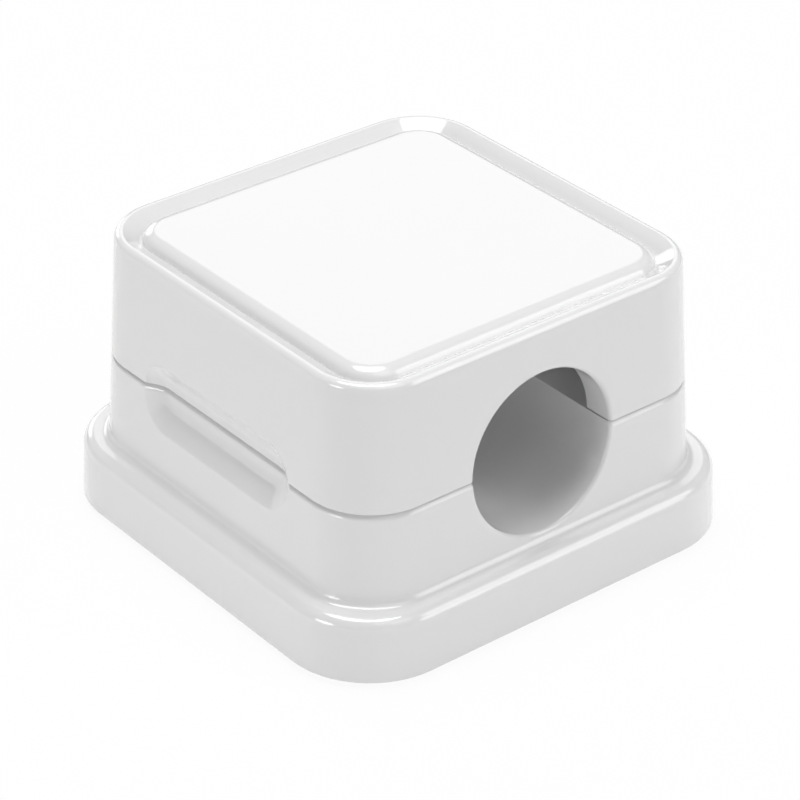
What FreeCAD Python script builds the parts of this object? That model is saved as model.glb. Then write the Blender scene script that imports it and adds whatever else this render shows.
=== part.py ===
import FreeCAD, Part
import math
import os

# Cable clip in two halves that magnets hold together. Millimetres, +Z up, origin under the middle
# of the foam tape that it stands on. The cable runs along X, and the finger recesses are in the
# two Y faces. Front is -Y, left is -X.

# Cable tunnel, half in the base and half in the lid
cable_diameter = 10.0
mouth_chamfer = 0.3
parting_gap = 0.12

# Disc magnets, two on each side of the cable in each half
magnet_diameter = 5.0
magnet_thickness = 2.0
magnet_glue_gap = 0.05
magnet_web = 1.5
magnet_cover = 1.95
boss_wall = 0.8
boss_cable_clearance = 0.25

# Walls of both halves
body_corner_radius = 4.2
wall = 2.0
lid_draft = 2.6
base_draft = 3.6

# Lid roof: a rim, a sloping dish inside it and a raised pad with soft edges
headroom = 0.65
roof_thickness = 1.65
rim_edge_radius = 0.4
rim_land = 0.1
dish_slope_width = 1.05
dish_depth = 0.6
pad_edge_radius = 1.0

# Base: the flat lands beside the channel, the trough that the cable lies in and the ribs
channel_rise = 0.65
channel_wall = 1.4
land_thickness = 1.8
base_edge_chamfer = 0.27
rib_thickness = 1.0

# Foot flange
foot_height = 3.9
foot_corner_radius = 5.3
foot_draft = 3.0
foot_edge_radius = 0.45
flange_flat = 0.09
cove_radius = 0.8

# Finger recess across the parting plane, one in each Y face: an oblong with slanting sides
recess_length = 13.75
recess_height = 4.3
recess_below_parting = 0.1
recess_depth = 0.65
recess_side_run = 1.2
recess_floor_radius = 1.6

# Underside: plate let into the foot, with the foam tape on it
plate_thickness = 1.2
plate_clearance = 0.1
plate_edge_chamfer = 0.25
foot_rim_wall = 2.0
tape_thickness = 1.0
tape_proud = 0.4
tape_margin = 0.5

# Heights that follow
cable_radius = cable_diameter / 2
foot_bottom = tape_proud
foot_top = foot_bottom + foot_height
parting_height = foot_top + channel_rise + cable_radius
lid_bottom = parting_height + parting_gap
roof_underside = parting_height + cable_radius + headroom
crease_height = roof_underside + roof_thickness
lid_top = crease_height + dish_depth
land_underside = parting_height - land_thickness
plate_bottom = tape_thickness
plate_seat = plate_bottom + plate_thickness

# Widths that follow: the magnets stand beside the cable and the body's walls beside the magnets
pocket_radius = magnet_diameter / 2 + magnet_glue_gap
pocket_depth = magnet_thickness + magnet_glue_gap
boss_radius = pocket_radius + boss_wall
magnet_row = cable_radius + boss_cable_clearance + boss_radius
magnet_spacing = 2 * pocket_radius + magnet_web
body_width = 2 * (magnet_row + pocket_radius + magnet_cover)

# Reach of a cutter that passes the whole clip, and how closely an edge is looked for
far = 2 * body_width
near = 0.01


def slope(degrees):
    """How far a drafted wall moves sideways for each millimetre of height."""
    return math.tan(math.radians(degrees))


def at(x, y, z):
    return FreeCAD.Vector(x, y, z)


def rounded_square(width, corner_radius, z):
    """Closed level wire: a square with round corners, made of four lines and four arcs."""
    half = width / 2
    flat = half - corner_radius
    middle = flat + corner_radius * math.sqrt(0.5)
    up = at(0, 0, 1)
    edges = []
    for quarter in range(4):
        turn = FreeCAD.Rotation(up, 90 * quarter)
        side_start = turn.multVec(at(half, -flat, z))
        side_end = turn.multVec(at(half, flat, z))
        arc_middle = turn.multVec(at(middle, middle, z))
        arc_end = turn.multVec(at(flat, half, z))
        edges.append(Part.LineSegment(side_start, side_end).toShape())
        edges.append(Part.Arc(side_end, arc_middle, arc_end).toShape())
    return Part.Wire(edges)


def tapered_block(low, high):
    """Solid between two rounded squares, each given as (width, corner radius, height)."""
    return Part.makeLoft([rounded_square(*low), rounded_square(*high)], True, True)


def straight_block(width, corner_radius, low, high):
    """Upright block with a rounded square section."""
    face = Part.Face(rounded_square(width, corner_radius, low))
    return face.extrude(at(0, 0, high - low))


def ring_edges(shape, width, z):
    """The level edges at height z that lie on the outline of a square of this width."""
    ring = []
    for edge in shape.Edges:
        box = edge.BoundBox
        level = abs(box.ZMin - z) < near and abs(box.ZMax - z) < near
        reach = max(-box.XMin, box.XMax, -box.YMin, box.YMax)
        if level and abs(reach - width / 2) < near:
            ring.append(edge)
    return ring


def cable_bore(radius):
    """Cylinder along the cable's axis, past both ends of the clip."""
    return Part.makeCylinder(radius, 2 * far, at(-far, 0, parting_height), at(1, 0, 0))


def lid_ring(z, inset):
    """Width, corner radius and height of the lid's outline at z, moved in by inset."""
    inset += (z - parting_height) * slope(lid_draft)
    return body_width - 2 * inset, body_corner_radius - inset, z


def base_ring(z, inset):
    """Width, corner radius and height of the base's outline at z, moved in by inset."""
    inset -= (parting_height - z) * slope(base_draft)
    return body_width - 2 * inset, body_corner_radius - inset, z


def foot_ring(z, inset):
    """Width, corner radius and height of the foot's outline at z, moved in by inset."""
    top_width = base_ring(foot_top, 0)[0] + 2 * (cove_radius + flange_flat + foot_edge_radius)
    inset -= (foot_top - z) * slope(foot_draft)
    return top_width - 2 * inset, foot_corner_radius - inset, z


def magnet_places():
    """Name and plan position of each of the four magnets in a half."""
    half_spacing = magnet_spacing / 2
    places = []
    for depth_name, y in (("front", -magnet_row), ("rear", magnet_row)):
        for side_name, x in (("left", -half_spacing), ("right", half_spacing)):
            places.append((depth_name + "_" + side_name, x, y))
    return places


def magnet_bosses(low, high):
    """Round posts round the magnets, from one height to another."""
    height = high - low
    posts = [Part.makeCylinder(boss_radius, height, at(x, y, low)) for name, x, y in magnet_places()]
    return posts[0].multiFuse(posts[1:])


def magnet_pockets(low):
    """Blind holes that the magnets are pressed into."""
    holes = []
    for name, x, y in magnet_places():
        holes.append(Part.makeCylinder(pocket_radius, pocket_depth, at(x, y, low)))
    return Part.makeCompound(holes)


def oblong(length, height, y, z):
    """Closed upright wire facing Y: a level oblong with half-round ends, centred at height z."""
    radius = height / 2
    flat = length / 2 - radius
    top_left = at(-flat, y, z + radius)
    top_right = at(flat, y, z + radius)
    bottom_right = at(flat, y, z - radius)
    bottom_left = at(-flat, y, z - radius)
    right_end = Part.Arc(top_right, at(flat + radius, y, z), bottom_right)
    left_end = Part.Arc(bottom_left, at(-flat - radius, y, z), top_left)
    top = Part.LineSegment(top_left, top_right)
    bottom = Part.LineSegment(bottom_right, bottom_left)
    return Part.Wire([top.toShape(), right_end.toShape(), bottom.toShape(), left_end.toShape()])


def finger_recess():
    """Front recess as a cutter: an oblong that narrows all round down to a floor with a soft corner."""
    face = -body_width / 2
    floor = face + recess_depth
    middle = parting_height - recess_below_parting
    spread = recess_side_run / recess_depth * wall
    outside = oblong(recess_length + 2 * spread, recess_height + 2 * spread, face - wall, middle)
    floor_length = recess_length - 2 * recess_side_run
    floor_height = recess_height - 2 * recess_side_run
    cutter = Part.makeLoft([outside, oblong(floor_length, floor_height, floor, middle)], True, True)
    floor_edge = [edge for edge in cutter.Edges if edge.BoundBox.YMin > floor - near]
    return cutter.makeFillet(recess_floor_radius, floor_edge)


def both_recesses():
    front = finger_recess()
    rear = front.mirror(at(0, 0, 0), at(0, 1, 0))
    return Part.makeCompound([front, rear])


def tunnel(draft):
    """Cable bore with a chamfer at each mouth that lies square to an end wall with this draft."""
    bore = cable_bore(cable_radius)
    sink = Part.makeCone(cable_radius, cable_radius + 2 * mouth_chamfer, 2 * mouth_chamfer)
    sink.rotate(at(0, 0, 0), at(0, 1, 0), 90 - draft)
    sink.translate(at(body_width / 2 - mouth_chamfer, 0, parting_height))
    other = sink.mirror(at(0, 0, 0), at(1, 0, 0))
    return bore.multiFuse([sink, other])


def lid_roof_block():
    """Outside of the lid with its rim, dish and raised pad.

    The pad's edge is a quarter round that starts below the dish's bottom, so the part of its
    width that the dish's bottom hides is added to the crease's width.
    """
    block = tapered_block(lid_ring(lid_bottom, 0), lid_ring(lid_top, 0))
    top_width, top_corner = lid_ring(lid_top, 0)[:2]
    block = block.makeFillet(rim_edge_radius, ring_edges(block, top_width, lid_top))
    mouth_inset = rim_edge_radius + rim_land
    crease_inset = mouth_inset + dish_slope_width
    dish = tapered_block(
        (top_width - 2 * crease_inset, top_corner - crease_inset, crease_height),
        (top_width - 2 * mouth_inset, top_corner - mouth_inset, lid_top),
    )
    edge_turn = math.acos(max(0, 1 - dish_depth / pad_edge_radius))
    pad_inset = crease_inset - pad_edge_radius * (1 - math.sin(edge_turn))
    pad_width = top_width - 2 * pad_inset
    pad_low = crease_height - roof_thickness / 2
    pad = straight_block(pad_width, top_corner - pad_inset, pad_low, lid_top)
    pad = pad.makeFillet(pad_edge_radius, ring_edges(pad, pad_width, lid_top))
    return block.cut(dish).fuse(pad)


def lid_shell():
    """Hollow lid: roof, four drafted walls with a notch in each end, and the magnet bosses."""
    hollow = tapered_block(lid_ring(lid_bottom, wall), lid_ring(roof_underside, wall))
    shell = lid_roof_block().cut(hollow)
    shell = shell.fuse(magnet_bosses(lid_bottom, crease_height - roof_thickness / 2))
    shell = shell.cut(magnet_pockets(lid_bottom))
    shell = shell.cut(both_recesses())
    return shell.cut(tunnel(lid_draft)).removeSplitter()


def base_block():
    """Outside of the base: drafted body on the foot flange, with the cove between them."""
    body = tapered_block(base_ring(foot_bottom, 0), base_ring(parting_height, 0))
    body = body.makeChamfer(base_edge_chamfer, ring_edges(body, body_width, parting_height))
    foot = tapered_block(foot_ring(foot_bottom, 0), foot_ring(foot_top, 0))
    block = body.fuse(foot)
    cove_width = base_ring(foot_top, 0)[0]
    block = block.makeFillet(cove_radius, ring_edges(block, cove_width, foot_top))
    edge_width = foot_ring(foot_top, 0)[0]
    return block.makeFillet(foot_edge_radius, ring_edges(block, edge_width, foot_top))


def base_core():
    """Hollow of the underside: between the walls, round the channel's trough, bosses and ribs."""
    core = tapered_block(base_ring(plate_seat, wall), base_ring(land_underside, wall))
    core = core.cut(cable_bore(cable_radius + channel_wall))
    core = core.cut(magnet_bosses(parting_height - pocket_depth - boss_wall, parting_height))
    half_rib = rib_thickness / 2
    half_body = body_width / 2
    boss_side = magnet_spacing / 2 + boss_radius
    for x in (-boss_side, boss_side):
        rib_corner = at(x - half_rib, -half_body, foot_bottom)
        core = core.cut(Part.makeBox(rib_thickness, body_width, parting_height, rib_corner))
    keel_corner = at(-half_body, -half_rib, foot_bottom)
    return core.cut(Part.makeBox(body_width, rib_thickness, parting_height, keel_corner))


def underside_block(inset, low, high):
    """Upright block of the foot's bottom outline moved in by inset."""
    width, corner_radius = foot_ring(foot_bottom, inset)[:2]
    return straight_block(width, corner_radius, low, high)


def base_shell():
    """Base moulding: block with the channel, finger recesses, magnet pockets and hollow underside."""
    shell = base_block().cut(both_recesses())
    shell = shell.cut(tunnel(base_draft))
    shell = shell.cut(underside_block(foot_rim_wall, foot_bottom, plate_seat))
    shell = shell.cut(base_core())
    return shell.cut(magnet_pockets(parting_height - pocket_depth))


def base_plate():
    """Plate let into the foot under the base's ribs."""
    inset = foot_rim_wall + plate_clearance
    plate = underside_block(inset, plate_bottom, plate_seat)
    edge_width = foot_ring(foot_bottom, inset)[0]
    return plate.makeChamfer(plate_edge_chamfer, ring_edges(plate, edge_width, plate_bottom))


def adhesive_pad():
    """Square of foam tape under the plate, proud of the foot's rim."""
    return underside_block(foot_rim_wall + tape_margin, 0, tape_thickness)


def disc_magnet(x, y, low):
    return Part.makeCylinder(magnet_diameter / 2, magnet_thickness, at(x, y, low))


def export(name, shape):
    shape.exportStep("parts/" + name + ".step")
    print(name, "solids", len(shape.Solids), "valid", shape.isValid(), "volume", round(shape.Volume, 1))


os.makedirs("parts", exist_ok=True)
export("lid_shell", lid_shell())
export("base_shell", base_shell())
export("base_plate", base_plate())
export("adhesive_pad", adhesive_pad())
for place, x, y in magnet_places():
    export("lid_magnet_" + place, disc_magnet(x, y, lid_bottom))
    export("base_magnet_" + place, disc_magnet(x, y, parting_height - magnet_thickness))
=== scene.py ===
import math
import bmesh
import bpy
import numpy as np
from mathutils import Matrix, Vector


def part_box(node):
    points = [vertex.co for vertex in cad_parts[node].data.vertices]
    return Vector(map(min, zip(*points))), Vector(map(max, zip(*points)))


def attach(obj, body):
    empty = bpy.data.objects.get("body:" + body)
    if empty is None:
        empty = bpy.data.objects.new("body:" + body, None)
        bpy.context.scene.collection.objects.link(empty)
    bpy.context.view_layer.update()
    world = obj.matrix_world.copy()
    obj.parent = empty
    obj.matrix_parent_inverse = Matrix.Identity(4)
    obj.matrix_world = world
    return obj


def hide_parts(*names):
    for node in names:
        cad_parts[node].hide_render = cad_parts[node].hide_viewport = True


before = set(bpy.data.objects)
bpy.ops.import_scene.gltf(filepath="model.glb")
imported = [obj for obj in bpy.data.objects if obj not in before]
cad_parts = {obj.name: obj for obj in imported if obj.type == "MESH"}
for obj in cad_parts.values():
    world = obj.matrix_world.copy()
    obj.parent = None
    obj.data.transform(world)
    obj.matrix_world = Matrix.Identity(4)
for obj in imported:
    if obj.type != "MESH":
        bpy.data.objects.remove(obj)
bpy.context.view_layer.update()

# Foam tape: a die-cut square of closed-cell foam with adhesive on both faces, which holds the clip
# on a desk or wall. It is pressed on the plate and stands a little proud of the foot.
mm = 0.001
foot_bottom_half = 15.0 * mm
foot_bottom_corner = 5.504 * mm
tape_inset = 2.5 * mm
tape_bulge = 0.06 * mm
recess_flat = 4.725 * mm

# Where the points of a quarter ring lie: along its end, round its corner, and along its front on both
# sides of the finger recess's outline, where they stand close together.
end_shares = np.linspace(0, 1, 9)
corner_angles = np.radians(np.linspace(0, 90, 25))
recess_shares = np.concatenate(
    [np.linspace(0, 0.6, 5), np.linspace(0.63, 0.97, 24), [0.98, 0.99, 0.995, 1]]
)
plain_shares = np.array([0.01, 0.02, 0.04, 0.1, 0.3, 0.6, 1])

# How near two surfaces' points are joined, how near a flat face's level its rim lies, and the angle
# up to which two faces are shaded as one.
weld_distance = 0.0005 * mm
level_slack = 0.001 * mm
sharpest_smooth_angle = math.radians(26)


class Moulding:
    """A moulded piece: surfaces worked out on grids, joined along their shared edges and closed."""

    def __init__(self):
        self.points = []
        self.faces = []
        self.count = 0

    def grid(self, x, y, z):
        """Adds a surface given by its points' coordinates over rows and columns."""
        x, y, z = np.broadcast_arrays(x, y, z)
        rows, columns = x.shape
        start = self.count + (np.arange(rows - 1)[:, None] * columns + np.arange(columns - 1)).ravel()
        self.points.append(np.stack([x, y, z], -1).reshape(-1, 3))
        self.faces.append(np.stack([start, start + 1, start + columns + 1, start + columns], -1))
        self.count += rows * columns

    def quarter(self, x, y, z):
        """Adds a surface of the quarter where x and y are positive, and its three mirror images."""
        for across, deep in ((1, 1), (-1, 1), (-1, -1), (1, -1)):
            self.grid(x * across, y * deep, z)

    def rings(self, half, radius, z):
        """Adds a surface through rounded squares of these half-widths, corner radii and heights."""
        half, radius, z = (value[:, None] for value in np.broadcast_arrays(half, radius, z))
        x, y = rounded_square(half, radius)
        self.quarter(x, y, z)

    def piece(self, name, levels, material):
        """Joins the surfaces, closes the flat faces at these levels and makes the object."""
        mesh = bpy.data.meshes.new(name)
        mesh.from_pydata(np.concatenate(self.points), [], np.concatenate(self.faces))
        work = bmesh.new()
        work.from_mesh(mesh)
        bmesh.ops.remove_doubles(work, verts=work.verts, dist=weld_distance)
        open_edges = [edge for edge in work.edges if edge.is_boundary]
        for level in levels:
            rim = [e for e in open_edges if all(abs(v.co.z - level) < level_slack for v in e.verts)]
            bmesh.ops.triangle_fill(work, edges=rim, use_beauty=True, normal=(0, 0, 1))
        bmesh.ops.recalc_face_normals(work, faces=work.faces)
        work.to_mesh(mesh)
        work.free()
        mesh.polygons.foreach_set("use_smooth", np.ones(len(mesh.polygons), bool))
        mesh.set_sharp_from_angle(angle=sharpest_smooth_angle)
        mesh.materials.append(material)
        piece = bpy.data.objects.new(name, mesh)
        bpy.context.scene.collection.objects.link(piece)
        even = piece.modifiers.new("Even flats", "WEIGHTED_NORMAL")
        even.keep_sharp = True
        return piece


def rounded_square(half, radius, hole=0, split=recess_flat):
    """A quarter of a rounded square: half of its end, a quarter circle and half of its front.

    It starts beside a hole of half this width, and has points close together on both sides of split.
    """
    flat = half - radius
    hole, split = np.broadcast_arrays(hole, split, flat)[:2]
    end_y = hole + (flat - hole) * end_shares
    front_x = np.concatenate([split * recess_shares, split + (flat - split) * plain_shares], 1)[:, ::-1]
    corner_x = flat + radius * np.cos(corner_angles)
    corner_y = flat + radius * np.sin(corner_angles)
    x = np.concatenate([half + 0 * end_y, corner_x[:, 1:-1], front_x], 1)
    y = np.concatenate([end_y, corner_y[:, 1:-1], half + 0 * front_x], 1)
    return x, y


class Wire:
    """An output of a shader node. Sums and products of wires and numbers add Math nodes."""

    def __init__(self, socket):
        self.socket = socket

    def reckon(self, operation, other):
        tree = self.socket.id_data
        return add_node(tree, "ShaderNodeMath", {"operation": operation}, {0: self, 1: other})

    def __add__(self, other):
        return self.reckon("ADD", other)

    def __mul__(self, other):
        return self.reckon("MULTIPLY", other)

    __radd__ = __add__
    __rmul__ = __mul__


def add_node(tree, kind, settings, sockets, output=0):
    """Adds a node: its settings first, then its sockets' values or wires. Gives one of its outputs."""
    node = tree.nodes.new(kind)
    for name, value in settings.items():
        setattr(node, name, value)
    for name, value in sockets.items():
        if isinstance(value, Wire):
            tree.links.new(node.inputs[name], value.socket)
        else:
            node.inputs[name].default_value = value
    return Wire(node.outputs[output]) if len(node.outputs) else None


def new_finish(name):
    """A material with an empty node tree."""
    material = bpy.data.materials.new(name)
    material.use_nodes = True
    material.node_tree.nodes.clear()
    return material, material.node_tree


def noise(tree, scale, detail=2):
    """Noise over the piece's own coordinates, with this many swings in a metre."""
    place = add_node(tree, "ShaderNodeTexCoord", {}, {}, "Object")
    return add_node(tree, "ShaderNodeTexNoise", {}, {"Vector": place, "Scale": scale, "Detail": detail})


def tint(tree, share, low, high):
    """A colour between two others, at this share of the way."""
    ends = {6: (*low, 1), 7: (*high, 1)}
    return add_node(tree, "ShaderNodeMix", {"data_type": "RGBA"}, {0: share, **ends}, 2)


def bump(tree, height, depth):
    """Relief of this depth in metres."""
    return add_node(tree, "ShaderNodeBump", {}, {"Height": height, "Distance": depth})


def finish_with(tree, constants, **varying):
    """Ends a material in a Principled shader, with constants on its own sockets."""
    sockets = dict(constants)
    for name, wire in varying.items():
        sockets[name.replace("_", " ")] = wire
    shader = add_node(tree, "ShaderNodeBsdfPrincipled", {}, sockets)
    add_node(tree, "ShaderNodeOutputMaterial", {}, {"Surface": shader})


def foam_finish():
    """Dark grey foam with fine open cells on its cut edges."""
    material, tree = new_finish("Foam")
    place = add_node(tree, "ShaderNodeTexCoord", {}, {}, "Object")
    cells = add_node(tree, "ShaderNodeTexVoronoi", {"feature": "F1"}, {"Vector": place, "Scale": 6500})
    patches = noise(tree, 900, 3)
    colour = tint(tree, cells * 0.7 + patches * 0.5, (0.12, 0.12, 0.127), (0.24, 0.24, 0.25))
    relief = bump(tree, cells + patches * 0.3, 0.05 * mm)
    finish_with(tree, {}, Base_Color=colour, Roughness=0.62 + patches * 0.3, Normal=relief)
    return material


tape = Moulding()
tape_rise = np.linspace(0, 1, 9)
tape_half = foot_bottom_half - tape_inset - tape_bulge * (2 * tape_rise - 1) ** 2
tape_corner = foot_bottom_corner - tape_inset
tape_low, tape_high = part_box("adhesive_pad")[0].z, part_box("adhesive_pad")[1].z
tape.rings(tape_half, tape_corner, tape_low + (tape_high - tape_low) * tape_rise)
foam_tape = tape.piece("foam_tape", [tape_low, tape_high], foam_finish())
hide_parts("adhesive_pad")
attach(foam_tape, "base")


# Base plate: a flat moulded plate in matt white plastic, let into the foot from below. It closes the
# hollow base and gives the foam tape an even face, and its lower edge is rounded.
plate_inset = 2.1 * mm
plate_edge_radius = 0.25 * mm


def arc(centre, height, radius, start, end, steps):
    """Half-width and height of points on an arc about a centre, between two angles in degrees."""
    angles = np.radians(np.linspace(start, end, steps))
    return centre + radius * np.cos(angles), height + radius * np.sin(angles)


def matt_finish():
    """White plastic off a finely spark-eroded mould."""
    material, tree = new_finish("Matt white")
    grain = noise(tree, 9000)
    clouds = noise(tree, 120)
    colour = tint(tree, clouds, (0.8, 0.8, 0.805), (0.83, 0.83, 0.835))
    relief = bump(tree, grain, 0.01 * mm)
    finish_with(tree, {}, Base_Color=colour, Roughness=0.5 + grain * 0.2, Normal=relief)
    return material


plate = Moulding()
plate_half = foot_bottom_half - plate_inset
plate_corner = foot_bottom_corner - plate_inset
plate_low, plate_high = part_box("base_plate")[0].z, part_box("base_plate")[1].z
plate_edge = (plate_half - plate_edge_radius, plate_low + plate_edge_radius)
edge_half, edge_z = arc(*plate_edge, plate_edge_radius, -90, 0, 7)
plate_halves = np.append(edge_half, plate_half)
plate.rings(plate_halves, plate_corner - (plate_half - plate_halves), np.append(edge_z, plate_high))
foot_plate = plate.piece("foot_plate", [plate_low, plate_high], matt_finish())
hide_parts("base_plate")
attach(foot_plate, "base")


# Base shell: the lower half, one moulding in glossy white plastic. Four walls that lean inwards rise
# out of the foot flange through a cove. The cable lies in the half-round channel between two flat
# lands, and the front and the rear each have the lower half of a finger recess.
foot_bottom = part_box("base_shell")[0].z
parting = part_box("base_shell")[1].z
foot_top = 4.3 * mm
foot_top_half = 14.796 * mm
foot_top_corner = 5.3 * mm
foot_edge_radius = 0.7 * mm
foot_sole_radius = 0.04 * mm
foot_rim_wall = 2.0 * mm
foot_lean = 3.0
foot_slope = math.tan(math.radians(foot_lean))
body_half = 13.1 * mm
body_corner = 4.1 * mm
base_slope = math.tan(math.radians(3.6))
cove_radius = 0.5 * mm
base_edge_radius = 0.4 * mm
bore_radius = 5.0 * mm
base_mouth_radius = 0.23 * mm
recess_middle = parting - 0.1 * mm
recess_radius = 2.15 * mm
recess_depth = 0.65 * mm
recess_run = 1.2 * mm
recess_floor_radius = 1.6 * mm
recess_edge_blend = 0.06 * mm
pocket_radius = 2.55 * mm
pocket_depth = 2.05 * mm
magnet_x = 3.3 * mm
magnet_y = 8.6 * mm


def heights(exact, *others):
    """Row heights from low to high: the exact ones, and others, rounded, that lie between and apart."""
    exact = np.array(exact)
    step = 0.01 * mm
    least_gap = 0.6 * step
    others = np.unique(np.round(np.concatenate(others) / step)) * step
    apart = np.abs(others[:, None] - exact).min(1) > least_gap
    between = (others > exact.min()) & (others < exact.max())
    return np.sort(np.append(exact, others[apart & between]))


def base_wall(z):
    """Half-width of the base at height z: a hollow quarter round, a leaning wall and a rounded top edge.

    Both rounds touch the wall, so their centres lie a radius from it at a right angle.
    """
    lean = math.atan(base_slope)
    wall = body_half + (parting - z) * base_slope
    cove_z = foot_top + cove_radius
    cove_centre = body_half + (parting - cove_z) * base_slope + cove_radius / math.cos(lean)
    cove = cove_centre - np.sqrt(np.maximum(cove_radius**2 - (cove_z - z) ** 2, 0))
    edge_z = parting - base_edge_radius
    edge_centre = body_half + base_edge_radius * base_slope - base_edge_radius / math.cos(lean)
    edge = edge_centre + np.sqrt(np.maximum(base_edge_radius**2 - (z - edge_z) ** 2, 0))
    shape = np.where(z < cove_z - cove_radius * math.sin(lean), cove, wall)
    return np.where(z > edge_z + base_edge_radius * math.sin(lean), edge, shape)


def recess_face(x, z):
    """How far out the finger recess lies at x and z: an even floor, a soft bend and a slanting side.

    Its depth depends on the distance from a level line of half-length recess_flat, so it is an oblong.
    """
    distance = np.hypot(np.maximum(np.abs(x) - recess_flat, 0), z - recess_middle)
    slant = recess_depth / recess_run
    touch = recess_floor_radius * math.tan(math.atan(slant) / 2)
    start = recess_radius - recess_run - touch
    end = recess_radius - recess_run + touch * math.cos(math.atan(slant))
    bend = np.sqrt(np.maximum(recess_floor_radius**2 - (distance - start) ** 2, 0)) - recess_floor_radius
    depth = np.where(distance < end, recess_depth + bend, slant * (recess_radius - distance))
    return body_half - np.where(distance < start, recess_depth, depth)


def recess_reach(z, slope):
    """Half-length of the recess's outline at height z, where its side meets a wall of this slope."""
    reach = recess_radius + (parting - z) * slope * recess_run / recess_depth
    return recess_flat + np.sqrt(np.maximum(reach**2 - (z - recess_middle) ** 2, 0))


def recess_end(slope, way):
    """Height of the outline's lowest (way -1) or highest (way 1) line."""
    lean = slope * recess_run / recess_depth
    return recess_middle + way * (recess_radius + lean * (parting - recess_middle)) / (1 + way * lean)


def bore_ring(share, radius, way, cut):
    """Distance and height of points on a circle about the cable.

    They stand at shares of the turn from the cut level to the circle's top (way 1) or bottom (way -1).
    """
    first = np.arcsin(abs(cut - parting) / radius)
    angle = first + share * (math.pi / 2 - first)
    return radius * np.cos(angle), parting + way * radius * np.sin(angle)


def mouth_and_bore(shell, rows, wall, rounding, way, cut, inner):
    """Adds a mouth's rounded edge and the bore behind it, and returns the bore's end.

    The edge is a quarter round that touches the wall on a circle wider than the bore by its radius,
    so its rows start on the wall's own rows. The bore ends at the half-width that inner gives.
    """
    outer = bore_radius + rounding
    first = math.asin(abs(cut - parting) / outer)
    turn = np.arcsin(np.clip(way * (rows - parting) / outer, 0, 1))
    share = ((turn - first) / (math.pi / 2 - first))[:, None]
    angles = np.radians(np.linspace(0, 90, 8))
    y, z = bore_ring(share, bore_radius + rounding * (1 - np.sin(angles)), way, cut)
    front = wall(rows)[:, None]
    shell.quarter(front - rounding * (1 - np.cos(angles)), y, z)
    y, z = bore_ring(share, bore_radius, way, cut)
    shell.quarter(np.concatenate([front - rounding, inner(z)], 1), y, z)
    return y[:, 0], z[:, 0]


full_turn = np.radians(np.linspace(0, 360, 65))


def pockets(shell, mouth_z, end_z):
    """Adds the round pockets for the magnets: each a circle's wall from its mouth and a flat end."""
    reach = np.array([pocket_radius, pocket_radius, 0])[:, None]
    rise = np.array([mouth_z, end_z, end_z])[:, None]
    shell.quarter(magnet_x + reach * np.cos(full_turn), magnet_y + reach * np.sin(full_turn), rise)


def gloss_finish():
    """Glossy white plastic off a polished mould, faintly wavy, with a trace of grain."""
    material, tree = new_finish("Gloss white")
    waves = noise(tree, 160)
    grain = noise(tree, 2600)
    colour = tint(tree, noise(tree, 70), (0.855, 0.855, 0.855), (0.869, 0.869, 0.869))
    relief = bump(tree, waves + grain * 0.04, 0.004 * mm)
    roughness = 0.08 + waves * 0.03 + grain * 0.02
    coat = {"IOR": 1.5, "Coat Weight": 0.5, "Coat Roughness": 0.05}
    finish_with(tree, coat, Base_Color=colour, Roughness=roughness, Normal=relief)
    return material


gloss_white = gloss_finish()


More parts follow.
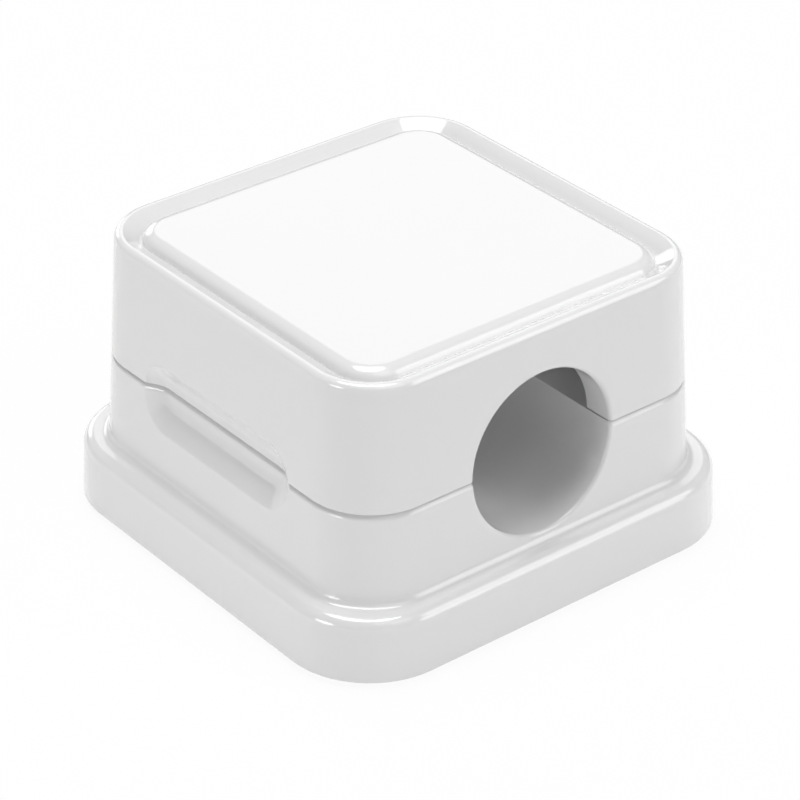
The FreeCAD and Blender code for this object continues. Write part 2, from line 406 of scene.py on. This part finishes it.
def base_shell():
    """The foot as rings from the inside out, then the walls, the mouths, the channel and the pockets."""
    shell = Moulding()
    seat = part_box("base_plate")[1].z
    rim_half = foot_bottom_half - foot_rim_wall
    rim_corner = foot_bottom_corner - foot_rim_wall
    shell.rings(rim_half, rim_corner, [seat, foot_bottom])
    # Measured level, a round's centre stands this many radii from a side that leans.
    stretch = 1 / math.cos(math.radians(foot_lean))
    sole_centre = foot_bottom_half - foot_sole_radius * (stretch + foot_slope)
    sole_middle_z = foot_bottom + foot_sole_radius
    sole_half, sole_z = arc(sole_centre, sole_middle_z, foot_sole_radius, -90, foot_lean, 6)
    edge_centre = foot_top_half + foot_edge_radius * (foot_slope - stretch)
    edge_middle_z = foot_top - foot_edge_radius
    edge_half, edge_z = arc(edge_centre, edge_middle_z, foot_edge_radius, foot_lean, 90, 10)
    foot_half = np.concatenate([[rim_half], sole_half, edge_half])
    foot_z = np.concatenate([[foot_bottom], sole_z, edge_z])
    foot_corner = foot_half - (foot_top_half - foot_top_corner)
    cove_half = float(base_wall(np.float64(foot_top)))
    body_middle = body_half - body_corner
    foot_half = np.append(foot_half, cove_half)
    foot_corner = np.append(foot_corner, cove_half - body_middle)
    shell.rings(foot_half, foot_corner, np.append(foot_z, foot_top))

    mouth = bore_radius + base_mouth_radius
    lowest = recess_end(base_slope, -1)
    quarter_turn = np.radians(np.linspace(0, 90, 33))
    # Rows stand close together at the cove, the mouth, the recess's outline and the top edge.
    z = heights(
        [foot_top, parting - mouth, lowest, parting],
        foot_top + cove_radius * (1 - np.cos(quarter_turn[::3])),
        parting - mouth * np.sin(quarter_turn),
        recess_middle - (recess_middle - lowest) * np.cos(np.radians(np.linspace(0, 97, 28))),
        lowest - recess_edge_blend * np.array([0.5, 1, 1.5, 2]),
        parting - base_edge_radius * (1 - np.sin(quarter_turn[::4])),
    )
    half = base_wall(z)[:, None]
    rows = z[:, None]
    hole = np.sqrt(np.maximum(mouth**2 - (rows - parting) ** 2, 0))
    recess_edge = recess_reach(np.maximum(rows, lowest), base_slope)
    x, y = rounded_square(half, half - body_middle, hole, recess_edge)
    edge_step = body_half + (parting - rows) * base_slope - half
    recess = recess_face(x, rows) - np.where(rows > parting - base_edge_radius, edge_step, 0)
    # The wall and the recess meet in a small round: where they are near, the lesser is lessened.
    overlap = np.maximum(recess_edge_blend - np.abs(y - recess), 0)
    shell.quarter(x, np.minimum(y, recess) - overlap**2 / (4 * recess_edge_blend), rows)

    mouth_rows = z[z >= parting - mouth]
    mouth_and_bore(shell, mouth_rows, base_wall, base_mouth_radius, -1, parting, np.zeros_like)
    pockets(shell, parting, parting - pocket_depth)
    return shell.piece("base_moulding", [seat, parting], gloss_white)


base = base_shell()
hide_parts("base_shell")
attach(base, "base")


# Magnets: eight nickel-plated discs of sintered magnet with small rounded edges, four in the base and
# four in the lid. Each is glued into a round pocket, its face level with the pocket's mouth.
magnet_radius = 2.5 * mm
magnet_edge_radius = 0.2 * mm


def nickel_finish():
    """Nickel plating with fine tumbling marks and duller patches."""
    material, tree = new_finish("Nickel")
    patches = noise(tree, 700, 4)
    marks = noise(tree, 12000)
    colour = tint(tree, patches, (0.57, 0.55, 0.52), (0.68, 0.66, 0.63))
    relief = bump(tree, marks + patches * 0.5, 0.002 * mm)
    roughness = 0.24 + patches * 0.22
    finish_with(tree, {"Metallic": 0.7}, Base_Color=colour, Roughness=roughness, Normal=relief)
    return material


def magnet(node, material):
    """A disc as a profile turned about its own axis: flat faces, rounded edges and a straight rim."""
    low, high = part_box(node)
    centre = (low + high) / 2
    edge = magnet_radius - magnet_edge_radius
    lower_half, lower_z = arc(edge, low.z + magnet_edge_radius, magnet_edge_radius, -90, 0, 5)
    upper_half, upper_z = arc(edge, high.z - magnet_edge_radius, magnet_edge_radius, 0, 90, 5)
    reach = np.concatenate([[0], lower_half, upper_half, [0]])[:, None]
    rise = np.concatenate([[low.z], lower_z, upper_z, [high.z]])[:, None]
    disc = Moulding()
    disc.grid(centre.x + reach * np.cos(full_turn), centre.y + reach * np.sin(full_turn), rise)
    piece = disc.piece(node.replace("_magnet_", "_disc_"), [], material)
    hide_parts(node)
    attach(piece, node.split("_")[0])


nickel = nickel_finish()
for half_name in ("base", "lid"):
    for corner_name in ("front_left", "front_right", "rear_left", "rear_right"):
        magnet(half_name + "_magnet_" + corner_name, nickel)


# Lid shell: the upper half, one hollow moulding in the same glossy plastic. Its roof has a narrow
# rim, a dish that slopes in to a crease, and a raised pad with soft edges. Four bosses inside hold
# the magnets, and the lid is lifted straight off by the finger recesses.
lid_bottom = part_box("lid_shell")[0].z
lid_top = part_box("lid_shell")[1].z
lid_slope = math.tan(math.radians(2.6))
lid_wall = 2.0 * mm
rim_radius = 0.4 * mm
rim_land = 0.1 * mm
rim_inner_radius = 0.15 * mm
dish_width = 1.05 * mm
dish_depth = 0.6 * mm
pad_radius = 1.0 * mm
lid_mouth_radius = 0.28 * mm
roof_underside = 15.6 * mm
boss_radius = 3.35 * mm


def lid_half(z):
    """Half-width of the lid at height z: its walls lean in evenly from the parting."""
    return body_half - (z - parting) * lid_slope


def hollow_half(z):
    """Half-width of the lid's hollow at height z: the lid's, less the thickness of its wall."""
    return lid_half(z) - lid_wall


def roof_profile():
    """Half-widths and heights across the roof, from the wall in to the pad's flat top.

    The rim's outer and inner edges and the pad's edge are arcs, with straight lines between them.
    """
    lean = math.atan(lid_slope)
    centre_z = lid_top - rim_radius
    rim_centre = lid_half(centre_z) - rim_radius / math.cos(lean)
    rim = arc(rim_centre, centre_z, rim_radius, math.degrees(lean), 90, 9)
    land_inner = lid_half(lid_top) - rim_radius - rim_land
    fall = math.atan(dish_depth / dish_width)
    touch = rim_inner_radius * math.tan(fall / 2)
    lip_end = 90 + math.degrees(fall)
    lip = arc(land_inner + touch, lid_top - rim_inner_radius, rim_inner_radius, 90, lip_end, 5)
    crease = land_inner - dish_width
    start = math.asin(1 - dish_depth / pad_radius)
    pad_centre = crease - pad_radius * math.cos(start)
    pad = arc(pad_centre, lid_top - pad_radius, pad_radius, math.degrees(start), 90, 13)
    return np.concatenate([rim, lip, pad], 1)


def lid_shell():
    """The walls, the roof as rings, the mouths, then the hollow with its bosses and pockets."""
    shell = Moulding()
    mouth = bore_radius + lid_mouth_radius
    highest = recess_end(lid_slope, 1)
    roof_half, roof_z = roof_profile()
    z = heights(
        [lid_bottom, highest, parting + mouth, roof_z[0]],
        parting + mouth * np.sin(np.radians(np.linspace(0, 90, 33))),
        recess_middle + (highest - recess_middle) * np.sin(np.radians(np.linspace(8, 90, 27))),
        np.linspace(parting + mouth, roof_z[0], 5),
    )
    half = lid_half(z)[:, None]
    rows = z[:, None]
    hole = np.sqrt(np.maximum(mouth**2 - (rows - parting) ** 2, 0))
    x, y = rounded_square(half, body_corner, hole, recess_reach(np.minimum(rows, highest), lid_slope))
    shell.quarter(x, np.where(rows > highest, y, np.minimum(y, recess_face(x, rows))), rows)
    shell.rings(roof_half, roof_half - (lid_half(roof_z[0]) - body_corner), roof_z)

    mouth_rows = z[z <= parting + mouth]
    bore = (lid_mouth_radius, 1, lid_bottom, hollow_half)
    hole_y, hole_z = mouth_and_bore(shell, mouth_rows, lid_half, *bore)
    rows = np.append(hole_z, roof_underside)[:, None]
    half = hollow_half(rows)
    x, y = rounded_square(half, body_corner - lid_wall, np.append(hole_y, 0)[:, None])
    # The hollow's front is the bosses' own round, from the lid's wall to the middle.
    corner_end = len(end_shares) + len(corner_angles) - 1
    first = np.arcsin((half - magnet_y) / boss_radius)
    last = math.acos(magnet_x / boss_radius) - math.pi
    turn = first + (last - first) * np.linspace(0, 1, 41)
    x = np.concatenate([x[:, :corner_end], magnet_x + boss_radius * np.cos(turn)], 1)
    y = np.concatenate([y[:, :corner_end], magnet_y + boss_radius * np.sin(turn)], 1)
    shell.quarter(x, y, rows)
    pockets(shell, lid_bottom, lid_bottom + pocket_depth)
    return shell.piece("lid_moulding", [lid_bottom, roof_underside, lid_top], gloss_white)


lid = lid_shell()
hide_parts("lid_shell")
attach(lid, "lid")


# Floor: a plain table top in white paint, just under the tape. The camera and reflections see it
# almost as white paper, with a faint shadow of the clip.
floor_gap = 0.01 * mm
whiteness = 0.94


def floor_finish():
    """White paint, faintly cloudy, and plain white for most of what the camera and reflections see."""
    material, tree = new_finish("Table")
    clouds = noise(tree, 3)
    colour = tint(tree, clouds, (0.89, 0.89, 0.89), (0.91, 0.91, 0.91))
    paint = add_node(tree, "ShaderNodeBsdfDiffuse", {}, {"Color": colour})
    glow = add_node(tree, "ShaderNodeEmission", {}, {"Color": (1, 1, 1, 1), "Strength": 1.0})
    seen = add_node(tree, "ShaderNodeLightPath", {}, {}, "Is Camera Ray")
    mirrored = add_node(tree, "ShaderNodeLightPath", {}, {}, "Is Glossy Ray")
    through = add_node(tree, "ShaderNodeLightPath", {}, {}, "Is Transmission Ray")
    share = (seen + mirrored + through) * whiteness
    surface = add_node(tree, "ShaderNodeMixShader", {}, {0: share, 1: paint, 2: glow})
    add_node(tree, "ShaderNodeOutputMaterial", {}, {"Surface": surface})
    return material


bpy.ops.mesh.primitive_plane_add(size=20, location=(0, 0, -floor_gap))
floor = bpy.context.object
floor.name = "table_top"
floor.data.materials.append(floor_finish())


# Light: a dim room with round soft lamps, each a metre from the clip: a large one overhead, a low one
# before its front, three round its right end, and two weaker ones behind it on the left.
room_brightness = 0.05
lamp_distance = 1.0
clip_middle = Vector((0, 0, 0.009))

room = bpy.data.worlds.new("Room")
room.use_nodes = True
room.node_tree.nodes.clear()
dim_light = {"Color": (1, 1, 1, 1), "Strength": room_brightness}
walls = add_node(room.node_tree, "ShaderNodeBackground", {}, dim_light)
add_node(room.node_tree, "ShaderNodeOutputWorld", {}, {"Surface": walls})
bpy.context.scene.world = room


def outward(turn, rise):
    """The direction away from the clip at this turn from its front and this rise, both in degrees."""
    turn, rise = math.radians(turn), math.radians(rise)
    return Vector((math.sin(turn) * math.cos(rise), -math.cos(turn) * math.cos(rise), math.sin(rise)))


def lamp(name, turn, rise, radius, brightness):
    """A round lamp that faces the clip. Its energy is pi times its area times its brightness."""
    light = bpy.data.lights.new(name, "AREA")
    light.shape = "DISK"
    light.size = 2 * radius
    light.energy = math.pi**2 * radius**2 * brightness
    away = outward(turn, rise)
    holder = bpy.data.objects.new(name, light)
    holder.location = clip_middle + away * lamp_distance
    holder.rotation_euler = away.to_track_quat("Z", "Y").to_euler()
    bpy.context.scene.collection.objects.link(holder)


lamp("overhead_lamp", 270, 84, 0.35, 6.1)
lamp("rear_left_lamp", 231, 32, 0.26, 1.3)
lamp("left_low_lamp", 258, 15, 0.22, 2.2)
lamp("rear_right_lamp", 135, 33, 0.25, 2.9)
lamp("right_high_lamp", 90, 58, 0.3, 1.2)
lamp("right_low_lamp", 120, 11, 0.2, 3.6)
lamp("front_low_lamp", 0, 11, 0.2, 6.4)


# Camera: it stands where the photograph was taken from, looks at the base just above its foot, and is
# turned a trace about its line of sight.
camera_turn, camera_rise, camera_roll = 51.184, 31.396, 0.1533
camera_distance = 186.49 * mm
aim_height = 7.142 * mm
aim_right = 0.209 * mm
focal_length = 142.55

turn, roll = math.radians(camera_turn), math.radians(camera_roll)
right = Vector((math.cos(turn), math.sin(turn), 0))
back = outward(camera_turn, camera_rise)
up = back.cross(right)
place = Vector((0, 0, aim_height)) + right * aim_right + back * camera_distance
right, up = right * math.cos(roll) + up * math.sin(roll), up * math.cos(roll) - right * math.sin(roll)
camera = bpy.data.objects.new("camera", bpy.data.cameras.new("camera"))
camera.data.sensor_width = 36
camera.data.lens = focal_length
camera.data.clip_start = 0.01
camera.matrix_world = Matrix.Translation(place) @ Matrix((right, up, back)).transposed().to_4x4()
bpy.context.scene.collection.objects.link(camera)
bpy.context.scene.camera = camera
bpy.context.scene.view_settings.view_transform = "Standard"

bpy.context.view_layer.update()
